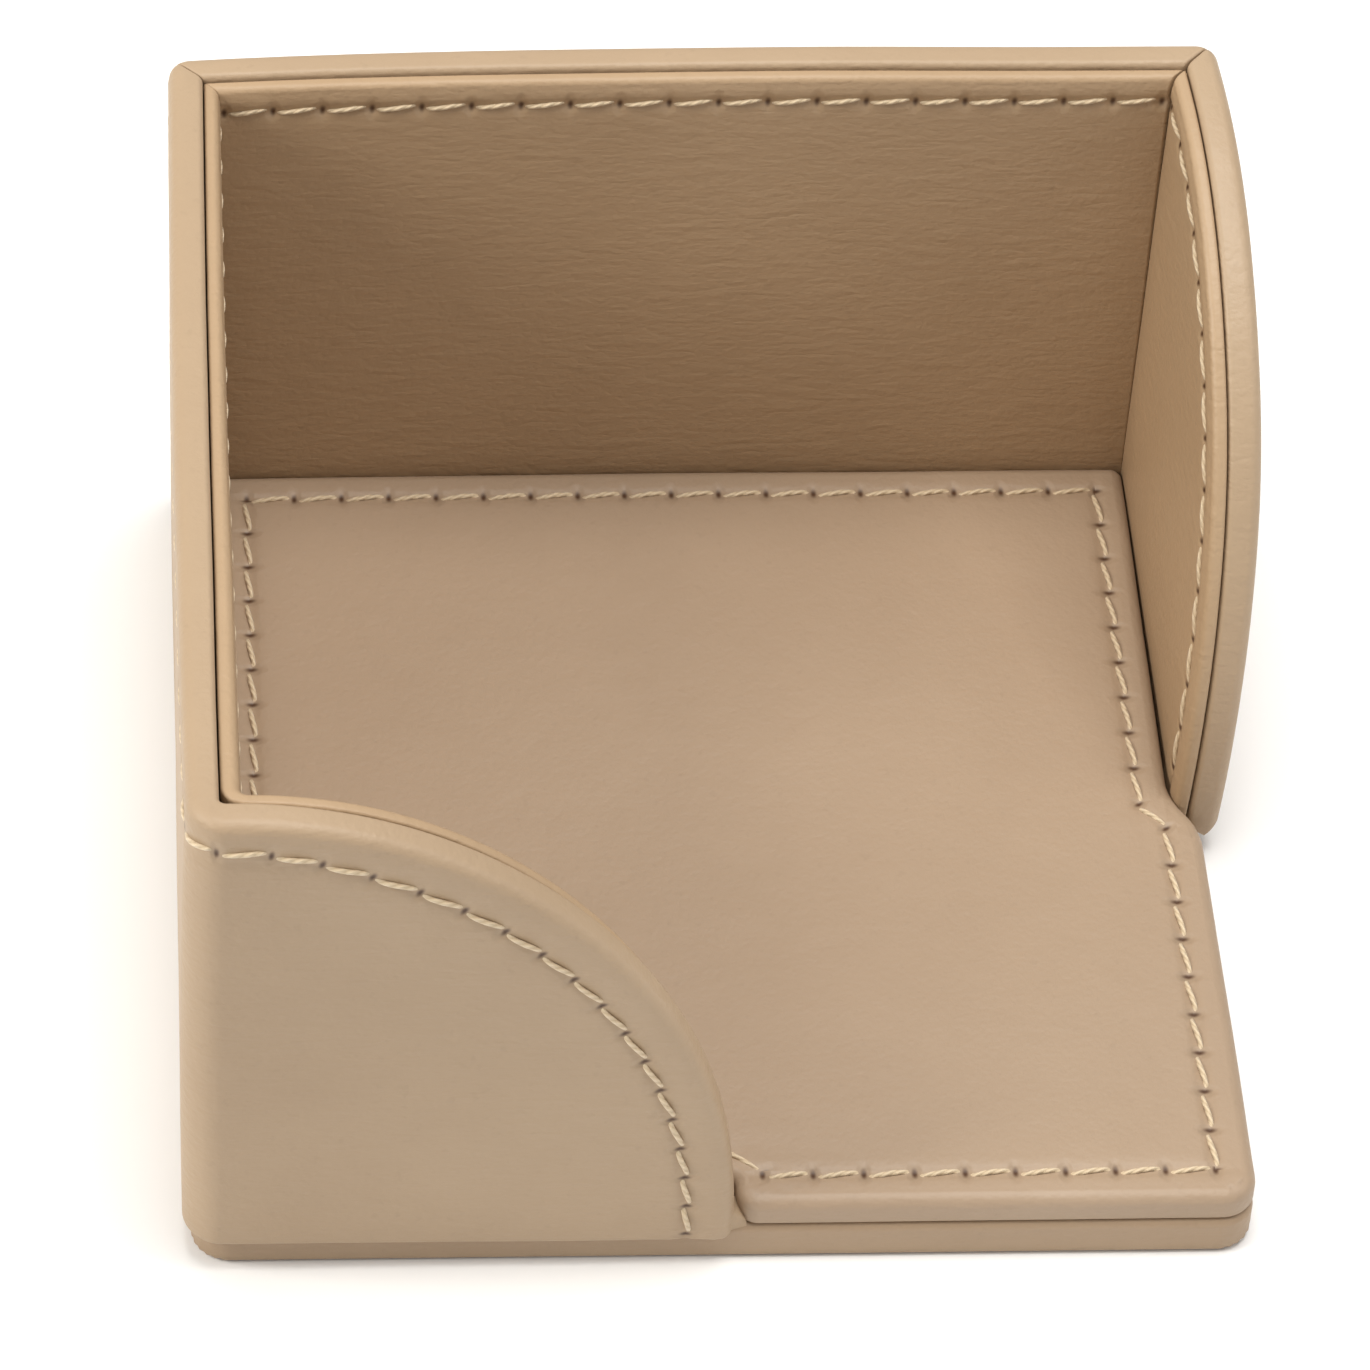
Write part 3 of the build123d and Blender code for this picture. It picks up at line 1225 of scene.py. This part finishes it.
@dataclass
class Plate(Piece):
    """A plate over an outline with rounded corners: a leather cover, or a board.

    Attributes:
        corners: its corners, each with its radius
        bottom: level of its underside
        top: level of its top
        edge: radius of its upper edge
        foot: radius of its lower edge
        window: how far the leather is turned in underneath, or 0 for all open
        rows: its rows of stitches
        pleats: whether its corners are pleated
        skin: thickness of the leather, or 0 for a solid board
    """

    EDGE_STEPS = 6
    LARGE_RADIUS = 2.0
    SEWN_HEIGHT = 0.6
    ROW_CUTS = (-2.4, -1.7, -1.1, -0.55, 0, 0.55, 1.1, 1.7, 2.4, 4.5)
    SWELL = 0.06
    FURROW = 0.22
    FURROW_WIDTH = 0.75
    PLEATS = 24
    PLEAT_DEPTH = 0.07

    corners: list[Place]
    bottom: float
    top: float
    edge: float
    foot: float
    window: float = 0.0
    rows: list[StitchRow] = field(default_factory=list)
    pleats: bool = False
    skin: float = SIZES.leather

    def block(self) -> None:
        """Raise the outline, and round its corners and edges."""
        self.bm.faces.new([self.bm.verts.new((x, y, self.bottom)) for x, y, _ in self.corners])
        self.extrude((0, 0, self.top - self.bottom))
        for x, y, radius in self.corners:
            upright = [
                edge for edge in self.bm.edges
                if all((vert.co.xy - Vector((x, y))).length < SAME_PLACE for vert in edge.verts)
            ]
            self.bevel(upright, radius, 12 if radius > self.LARGE_RADIUS else 6)
        for level, radius in ((self.top, self.edge), (self.bottom, self.foot)):
            self.bevel(self.face_at(2, level).edges, radius, self.EDGE_STEPS)

    def open_underside(self) -> None:
        """Leave the underside open inside the leather that is turned in."""
        face = self.face_at(2, self.bottom)
        if self.window:
            centre = Vector((0.0, 0.0))
            for axis, facing in enumerate(((1, 0, 0), (0, 1, 0))):
                places = [corner[axis] for corner in self.corners]
                centre[axis] = sum(places) / len(places)
                for place in (min(places) + self.window, max(places) - self.window):
                    under = self.faces_at(2, self.bottom)
                    edges = {edge for part in under for edge in part.edges}
                    verts = {vert for part in under for vert in part.verts}
                    at = [place * part for part in facing]
                    self.cut(at, facing, geometry=[*under, *edges, *verts])
            face = min(
                self.faces_at(2, self.bottom),
                key=lambda part: (part.calc_center_median().xy - centre).length,
            )
        self.mark_window(face)

    def shape_top(self) -> None:
        """Sink the leather along its rows, and swell it between them."""
        for axis, facing in enumerate(((1, 0, 0), (0, 1, 0))):
            places = {step * CUT_SPACING for step in range(-8, 9)}
            for row in self.rows:
                for here, there in zip(row.knots, row.knots[1:]):
                    if abs(here[axis] - there[axis]) < SAME_LEVEL:
                        places |= {round(here[axis] + step, 3) for step in self.ROW_CUTS}
            for place in sorted(places):
                self.cut([place * part for part in facing], facing)
        for vert in self.bm.verts:
            if vert.co.z > self.top - SAME_LEVEL:
                away = min(row.distance(vert.co.xy)[0] for row in self.rows)
                vert.co.z += self.SWELL - self.FURROW * math.exp(-((away / self.FURROW_WIDTH) ** 2))

    def gather(self) -> None:
        """Draw the leather into small pleats where it goes round a corner."""
        for x, y, radius in self.corners:
            centre = Vector((x - math.copysign(radius, x), y - math.copysign(radius, y)))
            for vert in self.bm.verts:
                away = vert.co.xy - centre
                beyond = away.x * x > 0 and away.y * y > 0
                if beyond and vert.co.z < self.top - self.edge:
                    fold = 1.0 + math.cos(math.atan2(away.y, away.x) * self.PLEATS)
                    depth = self.PLEAT_DEPTH * fold * (1 - vert.co.z / self.top)
                    away *= 1 - depth / max(away.length, 0.5)
                    vert.co.x, vert.co.y = centre + away

    def build(self, material: bpy.types.Material, slot: Slot, node: str) -> None:
        """Make the piece and attach it.

        Args:
            material: its material
            slot: its material slot
            node: the solid that it stands for
        """
        self.start()
        self.block()
        if self.skin:
            self.open_underside()
        if self.rows:
            self.shape_top()
            sewn = self.top - self.SEWN_HEIGHT
            self.map_rows(self.rows, (0, 1), lambda middle: middle.z > sewn)
        if self.pleats:
            self.gather()
        for vert in self.bm.verts:
            vert.co = HAND.settle(vert.co)
        self.open_window()
        self.take_place(self.finish(material, self.skin), slot, node)


@dataclass
class Thread(Piece):
    """Sewing thread: one bent length for each stitch of its rows.

    Attributes:
        rows: its rows
        fold: takes a row's flat point and a height over the leather to the holder
        radius: radius of the thread at the middle of a stitch
        end_share: share of it that is left at the ends
        gap: distance between two stitches
        sunk: how deep the middle line of its ends lies in the leather
        rise: how far its middle stands over its ends
        twist: turns of the map along a stitch
    """

    rows: list[StitchRow]
    fold: Callable[[Vector, float], Vector]
    radius: float = 0.28
    end_share: float = 0.62
    gap: float = 0.25
    sunk: float = 0.42
    rise: float = 0.52
    twist: float = 4.6
    sides: int = 6
    steps: int = 8

    def template(self) -> bpy.types.Mesh:
        """Make one straight length along x from 0 to 1, with its map.

        Returns:
            The length.
        """
        self.bm = bmesh.new()
        bmesh.ops.create_cone(
            self.bm, cap_ends=True, segments=self.sides, radius1=1.0, radius2=1.0, depth=1.0,
            matrix=Matrix.Translation((0.5, 0, 0)) @ Matrix.Rotation(QUARTER_TURN, 4, "Y"),
        )
        for step in range(1, self.steps):
            self.cut((step / self.steps, 0, 0), (1, 0, 0))
        layer = self.bm.loops.layers.uv.new(TWIST_MAP)
        for face in self.bm.faces:
            middle = face.calc_center_median()
            turn = math.atan2(middle.z, middle.y)
            for loop in face.loops:
                angle = math.atan2(loop.vert.co.z, loop.vert.co.y)
                angle += FULL_TURN * round((turn - angle) / FULL_TURN)
                loop[layer].uv = (loop.vert.co.x * self.twist, angle / FULL_TURN)
        mesh = bpy.data.meshes.new(f"{self.name}_length")
        self.bm.to_mesh(mesh)
        self.bm.free()
        return mesh

    def bend(self, row: StitchRow, index: int, spot: Vector) -> Vector:
        """Bend a point of the straight length into one stitch.

        Args:
            row: the row
            index: number of the stitch
            spot: the point

        Returns:
            The point on the holder.
        """
        gap = self.gap / row.pitch
        middle, along = row.at(row.run_of(index + gap / 2 + spot.x * (1 - gap)))
        across = Vector((-along.y, along.x))
        arch = math.sin(math.pi * clamp(spot.x))
        thick = self.radius * (self.end_share + (1 - self.end_share) * arch ** 0.6)
        height = self.rise * arch ** 0.45 - self.sunk
        lean = row.slant * math.sin(math.pi * (spot.x - 0.5))
        middle = middle + across * (lean + spot.y * thick)
        return self.fold(middle, height + spot.z * thick)

    def build(self, material: bpy.types.Material) -> None:
        """Make the stitches and attach them.

        Args:
            material: their material
        """
        length = self.template()
        self.bm = bmesh.new()
        for row in self.rows:
            for index in range(row.count):
                first = len(self.bm.verts)
                self.bm.from_mesh(length)
                self.bm.verts.ensure_lookup_table()
                for vert in self.bm.verts[first:]:
                    vert.co = self.bend(row, index, vert.co)
        bpy.data.meshes.remove(length)
        self.face_outwards()
        made = self.finish(material)
        self.take_place(made, Slot.THREAD, self.name.replace("thread", "stitching"))


# Holder


class NoteHolder:
    """The whole holder: its finishes, its leather, its boards and its threads."""

    CORNER_LIFT = 1.3
    CORNER_LIFT_WIDTH = 11.0
    KNOT_SPACING = 7
    END_KNOT_DROP = 1.1
    LEFT_STITCHES = 21
    FRONT_STITCHES = 17
    FRONT_EASE = 0.11
    RIGHT_STITCHES = 16
    LINING_STITCHES = 19
    LINING_ROW_FOOT = 0.5
    RIGHT_LINING_ROW_IN = (0.9, 0.5)
    LEFT_ROW_SUNK = 0.22
    LEFT_ROW_RISE = 6.0
    FLOOR_ROW_LEFT = 0.45
    FLOOR_ROW_RIGHT = 0.65
    FLOOR_ROW_STEP = (1.8, 2.6)
    FLOOR_THREAD_SUNK = 0.1
    BASE_FRONT_RIGHT = (0.3, 0.45)
    FLOOR_FRONT_RIGHT = (0.3, 0.1)
    FLOOR_STEP_SLANT = (3.0, 1.6)
    WALLED_CORNER_RADIUS = 1.3
    FRONT_STEP_RADIUS = 2.2
    RIGHT_STEP_RADIUS = 2.0
    FREE_CORNER_RADIUS = 3.5
    FLOOR_BOARD_IN = 0.7
    FLOOR_BOARD_UP = 0.6
    FLOOR_BOARD_DOWN = 0.9
    FLOOR_BOARD_EDGES = (0.7, 0.1)
    BOARD_MARGIN = 0.15
    LINING_BOARD_MARGIN = 0.1

    def __init__(self) -> None:
        """Build the finishes, the routes and the rows."""
        finishes = (
            LeatherFinish("wall_leather", (0.422, 0.304, 0.194), (0.384, 0.272, 0.171)),
            LeatherFinish("lining_leather", (0.432, 0.298, 0.178), (0.394, 0.267, 0.155)),
            # The floor's and the base's leather are darker than the walls': painted shade that stands
            # for the walls' shade on them.
            LeatherFinish("floor_leather", (0.40, 0.289, 0.196), (0.362, 0.257, 0.17)),
            LeatherFinish("base_leather", (0.385, 0.27, 0.17), (0.35, 0.24, 0.148), sewn=False),
            ThreadFinish("twisted_thread", (0.72, 0.58, 0.395), (0.54, 0.405, 0.25)),
            BoardFinish("grey_board", (0.32, 0.28, 0.23), (0.22, 0.19, 0.155), 900.0, 0.00012),
            BoardFinish("felt", (0.30, 0.22, 0.15), (0.20, 0.145, 0.10), 1400.0, 0.0003, 0.3),
        )
        effects = SharedEffects()
        (
            self.leather, self.lining, self.floor, self.base, self.thread, self.board, self.felt
        ) = [finish.build(effects) for finish in finishes]
        self.routes = self.lay_routes()
        self.rows = self.lay_rows()

    @staticmethod
    def lay_routes() -> dict[str, Route]:
        """Lay the lines that the walls and linings follow.

        Returns:
            The routes by name.
        """
        size = SIZES
        left, right, back = size.left, size.right, size.back
        inner_left, inner_right = left + size.wall_build, right - size.wall_build
        inner_back = back - size.wall_build
        lean = size.right_wall_lean
        return {
            "left_front_wall": Route(
                (left, back), (0, -1), 1, first=size.depth - size.front_corner_radius,
                radius=size.front_corner_radius, rounded=(0.0,),
            ),
            "back_wall": Route((left, back), (1, 0), -1, rounded=(0.0, size.width)),
            "right_wall": Route((right, back), (0, -1), -1, lean=lean, rounded=(0.0,)),
            "left_front_lining": Route(
                (inner_left, inner_back), (0, -1), -1,
                first=size.inner_depth - size.lining_corner_radius,
                radius=size.lining_corner_radius,
            ),
            "back_lining": Route((inner_left, inner_back), (1, 0), 1),
            "right_lining": Route((inner_right, inner_back), (0, -1), 1, lean=lean),
        }

    def raise_row(self, knots: list[Point]) -> list[Point]:
        """Lift the outer row where it goes round the front corner.

        Args:
            knots: points of its line

        Returns:
            The lifted points.
        """
        centre = self.routes["left_front_wall"].turned
        lifted = []
        for run, level in knots:
            fade = math.exp(-(((run - centre) / self.CORNER_LIFT_WIDTH) ** 2))
            lifted.append((run, level + self.CORNER_LIFT * fade))
        return lifted

    def lay_rows(self) -> dict[str, list[StitchRow]]:
        """Lay the rows of stitches on the flat walls and on the floor.

        Returns:
            The rows by name.
        """
        size = SIZES
        inset, level = size.wall_stitch_inset, size.height - size.wall_stitch_inset
        start, centre = size.wall_row_margin, self.routes["left_front_wall"].turned
        side = [(start + step, level) for step in range(0, 100, self.KNOT_SPACING)]
        side += [(centre - 6 + step, level) for step in range(6)]
        reach = size.front_straight - inset
        front = [(centre - 1, level), *sweep_line(centre, reach, level)]
        front.append((centre + reach, size.foot_level - self.END_KNOT_DROP))
        right = sweep_line(
            size.front_corner_radius,
            size.right_wall_length - size.front_corner_radius - inset, level,
        )
        lining = self.routes["left_front_lining"]
        inset, inner = size.lining_stitch_inset, size.lining_top - size.lining_stitch_inset
        margin, drop = size.lining_row_margin, size.pad_top + self.LINING_ROW_FOOT
        short, low = self.RIGHT_LINING_ROW_IN
        inner_front = sweep_line(lining.turned, size.front_lining_straight - inset, inner, drop)
        inner_right = sweep_line(
            size.right_lining_sweep_start, size.right_lining_length - short - inset, inner - low, drop
        )
        return {
            "left_front_wall": [
                StitchRow(self.raise_row(side), self.LEFT_STITCHES),
                StitchRow(self.raise_row(front), self.FRONT_STITCHES, self.FRONT_EASE),
            ],
            "back_wall": [StitchRow([(start, level), (size.width - start, level)])],
            "right_wall": [StitchRow(right, self.RIGHT_STITCHES)],
            "left_lining": [
                StitchRow([(margin, inner), (lining.first, inner)], self.LINING_STITCHES)
            ],
            "front_lining": [StitchRow(inner_front)],
            "back_lining": [
                StitchRow(
                    [(margin, inner), (size.inner_width - margin, inner)], self.LINING_STITCHES
                )
            ],
            "right_lining": [StitchRow(inner_right)],
            "floor": self.lay_floor_rows(),
        }

    def lay_floor_rows(self) -> list[StitchRow]:
        """Lay the rows round the floor, with one slanted stretch at each step.

        Returns:
            The rows, one for each stretch.
        """
        size = SIZES
        inset = size.wall_build + size.pad_clearance + size.pad_stitch_inset
        left = size.left + inset - self.FLOOR_ROW_LEFT
        right_walled = size.right - inset + self.FLOOR_ROW_RIGHT
        back, front_walled = size.back - inset, size.front + inset
        right = size.base_right - size.pad_stitch_inset
        front = size.base_front + size.pad_stitch_inset
        before, after = self.FLOOR_ROW_STEP
        corners = [
            (left, back), (left, front_walled),
            (size.step_front - before, front_walled), (size.step_front + after, front),
            (right, front), (right, size.step_right - size.pad_step_run),
            (right_walled, size.step_right), (right_walled, back),
        ]
        stretches = zip(corners, corners[1:] + corners[:1])
        return [StitchRow([here, there]) for here, there in stretches]

    def build_walls(self) -> None:
        """Make the leather of the three outer pieces."""
        size = SIZES
        shared = dict(
            thickness=size.panel_thickness, top=size.height, rim=size.rim_radius, mitre=1,
            turn_in=size.turn_in, rings=WALL_RINGS, skin=size.leather,
        )
        centre = self.routes["left_front_wall"].turned
        for name, end, own in (
            ("left_front_wall", centre + size.front_straight,
             dict(sweep=centre, overhang=1.2, ear=1.7)),
            ("back_wall", size.width, {}),
            ("right_wall", size.right_wall_length,
             dict(sweep=size.front_corner_radius, overhang=2.4, lowest=1.6)),
        ):
            Panel(
                f"{name}_leather", self.routes[name], end, rows=self.rows[name], **shared, **own
            ).build(self.leather, Slot.LEATHER)

    def build_linings(self) -> None:
        """Make the leather of the three linings."""
        size = SIZES
        shared = dict(
            thickness=size.lining_thickness - size.lining_gap, top=size.lining_top, mitre=-1,
            rim=size.lining_rim_radius, hidden_rim=size.lining_back_rim_radius,
            turn_in=size.lining_turn_in, rings=LINING_RINGS, skin=size.lining_leather,
            before=8.6, crease=0.12, parting=0.0,
        )
        centre = self.routes["left_front_lining"].turned
        rows = self.rows
        for name, end, sweep, sewn in (
            ("left_front_lining", centre + size.front_lining_straight, centre,
             rows["left_lining"] + rows["front_lining"]),
            ("back_lining", size.inner_width, None, rows["back_lining"]),
            ("right_lining", size.right_lining_length, size.right_lining_sweep_start,
             rows["right_lining"]),
        ):
            Panel(
                f"{name}_leather", self.routes[name], end, sweep=sweep, rows=sewn, **shared
            ).build(self.lining, Slot.LINING)

    def build_boards(self) -> None:
        """Make the boards of the walls and linings, which follow their leather."""
        size = SIZES
        wall = dict(
            thickness=size.panel_thickness, top=size.height,
            margin=size.leather + self.BOARD_MARGIN,
        )
        lining = dict(
            thickness=size.lining_thickness - size.lining_gap, top=size.lining_top,
            margin=size.lining_leather + self.LINING_BOARD_MARGIN,
        )
        for kind, sizes, mitre, reach, right_sweep, inset in (
            ("wall", wall, 1, size.front_straight, size.front_corner_radius, 0.0),
            ("lining", lining, -1, size.front_lining_straight, size.right_lining_sweep_start,
             size.wall_build),
        ):
            corner = self.routes[f"left_front_{kind}"]
            after = (
                corner.start[0] + corner.radius, corner.start[1] - corner.first - corner.radius
            )
            for place, route, end, own in (
                ("left", replace(corner, radius=0.0), corner.first, dict(far_mitre=0)),
                ("front", Route(after, (1, 0), corner.side), reach, dict(sweep=0.0, mitre=0)),
                ("back", self.routes[f"back_{kind}"], size.width - 2 * inset, {}),
                ("right", self.routes[f"right_{kind}"], size.right_wall_length - inset,
                 dict(sweep=right_sweep)),
            ):
                values = {"mitre": mitre, **sizes, **own}
                Panel(f"{place}_{kind}_board", route, end, **values).build(self.board, Slot.BOARD)

    def build_base(self) -> None:
        """Make the leather of the base."""
        size = SIZES
        left, back = size.left + size.base_inset_left, size.back - size.base_inset_back
        right, front = size.base_right, size.base_front
        out, forward = self.BASE_FRONT_RIGHT
        places = ((left, front), (right + out, front - forward), (right, back), (left, back))
        Plate(
            "base_leather", [(*place, size.base_corner_radius) for place in places],
            0.0, size.base_thickness, size.base_edge_radius, size.base_edge_radius,
            window=size.turn_in, pleats=True,
        ).build(self.base, Slot.LEATHER, "base_cover")

    def floor_corners(self, keep: float) -> list[Place]:
        """Lay the corners of the floor.

        Args:
            keep: how far its edge is drawn in

        Returns:
            The corners with their radii.
        """
        size = SIZES
        inset = size.wall_build + size.pad_gap + keep
        left, walled_right = size.left + inset, size.right - inset
        back, walled_front = size.back - inset, size.front + inset
        front, step = size.base_front + keep, size.step_front + keep
        right = size.base_right - keep
        out, forward = self.FLOOR_FRONT_RIGHT
        ahead, behind = self.FLOOR_STEP_SLANT
        walled = self.WALLED_CORNER_RADIUS
        return [
            (left, back, walled), (left, walled_front, walled),
            (step, walled_front, walled), (step, front, self.FRONT_STEP_RADIUS),
            (right + out, front - forward, self.FREE_CORNER_RADIUS),
            (right, size.step_right - ahead, self.RIGHT_STEP_RADIUS),
            (walled_right, size.step_right + behind, self.RIGHT_STEP_RADIUS),
            (walled_right, back, walled),
        ]

    def build_floor(self) -> None:
        """Make the leather and the board of the floor."""
        size = SIZES
        Plate(
            "floor_leather", self.floor_corners(0.0), size.base_thickness, size.pad_top,
            size.pad_edge_radius, size.pad_foot_radius, rows=self.rows["floor"],
        ).build(self.floor, Slot.LEATHER, "floor_cover")
        Plate(
            "floor_board", self.floor_corners(self.FLOOR_BOARD_IN),
            size.base_thickness + self.FLOOR_BOARD_UP, size.pad_top - self.FLOOR_BOARD_DOWN,
            *self.FLOOR_BOARD_EDGES, skin=0.0,
        ).build(self.board, Slot.BOARD, "floor_board")

    def sew_wall(self, name: str, route_name: str) -> None:
        """Make the thread of one wall or lining.

        Args:
            name: name of its rows
            route_name: name of the route that they follow
        """
        route = self.routes[route_name]
        sunk = self.LEFT_ROW_SUNK if name == "left_front_wall" else 0.0

        def fold(spot: Vector, height: float) -> Vector:
            """Fold a point of the thread, pulled into the leather on the left wall."""
            depth = sunk * clamp((route.first - spot.x) / self.LEFT_ROW_RISE)
            return route.place(Vector((spot.x, depth - height, spot.y)))

        Thread(f"{name}_thread", self.rows[name], fold).build(self.thread)

    def sew(self) -> None:
        """Make the threads of all rows."""
        for name in self.rows:
            if name != "floor":
                shared = name in ("left_lining", "front_lining")
                self.sew_wall(name, "left_front_lining" if shared else name)
        level = SIZES.pad_top - self.FLOOR_THREAD_SUNK
        Thread(
            "floor_thread", self.rows["floor"],
            lambda spot, height: HAND.settle(Vector((*spot, level + height))),
        ).build(self.thread)

    def dress_boards(self) -> None:
        """Give the solids that stay their board and felt."""
        for name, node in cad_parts.items():
            for ending, material in (("board", self.board), ("liner", self.felt)):
                if name.endswith(ending):
                    node.data.materials.clear()
                    node.data.materials.append(material)

    def build(self) -> None:
        """Make every piece."""
        self.build_base()
        self.build_floor()
        self.build_walls()
        self.build_linings()
        self.build_boards()
        self.sew()
        self.dress_boards()


# Studio


@dataclass(frozen=True)
class Light:
    """A soft square light that looks at the holder, in metres and watts."""

    name: str
    place: Place
    size: float
    power: float
    colour: Colour

    def hang(self) -> None:
        """Hang it in the scene."""
        data = bpy.data.lights.new(self.name, "AREA")
        data.size = self.size
        data.energy = self.power
        data.color = self.colour
        lamp = bpy.data.objects.new(self.name, data)
        bpy.context.scene.collection.objects.link(lamp)
        towards = Vector(Studio.AIM) - Vector(self.place)
        turn = towards.to_track_quat("-Z", "Y").to_matrix().to_4x4()
        lamp.matrix_world = Matrix.Translation(self.place) @ turn


@dataclass(frozen=True)
class Studio:
    """Pale floor, soft light and the camera, in metres and degrees."""

    AIM = (0, 0, 0.02)

    camera_place: Place = (-0.0607535, -0.5140856, 0.5478112)
    camera_yaw: float = 6.4996156
    camera_pitch: float = -45.304562
    camera_roll: float = 4.1117931
    lens: float = 197.393
    sensor: float = 36.0
    floor_reach: float = 3000.0
    room_light: float = 0.41
    lights: tuple[Light, ...] = (
        Light("key", (0.1, 0.03, 1.1), 0.6, 9.6, (1.0, 0.985, 0.955)),
        Light("left", (-0.9, -0.15, 0.68), 0.5, 8.0, (1.0, 0.97, 0.90)),
        Light("right", (0.9, -0.2, 0.75), 0.5, 2.0, (1.0, 0.98, 0.95)),
    )

    def place_camera(self) -> None:
        """Place the camera where the photograph was taken."""
        yaw, pitch, roll = map(
            math.radians, (self.camera_yaw, self.camera_pitch, self.camera_roll)
        )
        level = Vector((math.cos(yaw), -math.sin(yaw), 0.0))
        ahead = Vector((math.sin(yaw), math.cos(yaw), 0.0)) * math.cos(pitch)
        ahead.z = math.sin(pitch)
        upright = level.cross(ahead)
        right = level * math.cos(roll) + upright * math.sin(roll)
        up = upright * math.cos(roll) - level * math.sin(roll)
        data = bpy.data.cameras.new("camera")
        data.lens = self.lens
        data.sensor_width = self.sensor
        data.sensor_fit = "HORIZONTAL"
        camera = bpy.data.objects.new("camera", data)
        bpy.context.scene.collection.objects.link(camera)
        turn = Matrix((right, up, -ahead)).transposed().to_4x4()
        camera.matrix_world = Matrix.Translation(self.camera_place) @ turn
        bpy.context.scene.camera = camera

    def lay_floor(self) -> None:
        """Lay the pale floor."""
        maker = MaterialMaker("pale_floor", 0.8)
        patches = maker.group(bpy.data.node_groups["Mottle"], Scale=3.0)["Patches"]
        colour = maker.blend(patches, (0.95,) * 3, (0.94,) * 3)
        material = maker.finish(colour, [(patches, 0.05, 0.0001)])
        floor = Piece("pale_floor")
        floor.bm = bmesh.new()
        bmesh.ops.create_grid(floor.bm, x_segments=1, y_segments=1, size=self.floor_reach)
        floor.finish(material)

    def light_world(self) -> None:
        """Fill the room with even white light."""
        world = bpy.data.worlds.new("room")
        world.use_nodes = True
        sky = world.node_tree.nodes["Background"].inputs
        sky["Color"].default_value = (1.0, 1.0, 1.0, 1.0)
        sky["Strength"].default_value = self.room_light
        bpy.context.scene.world = world

    def build(self) -> None:
        """Set up the whole studio."""
        self.place_camera()
        self.lay_floor()
        self.light_world()
        for light in self.lights:
            light.hang()
        bpy.context.scene.view_settings.view_transform = "Standard"


def main() -> None:
    """Build the holder and its studio."""
    logging.basicConfig(level=logging.INFO, format="%(name)s %(message)s")
    noise.seed_set(WAVER_SEED)
    NoteHolder().build()
    Studio().build()


if __name__ == "__main__":
    main()
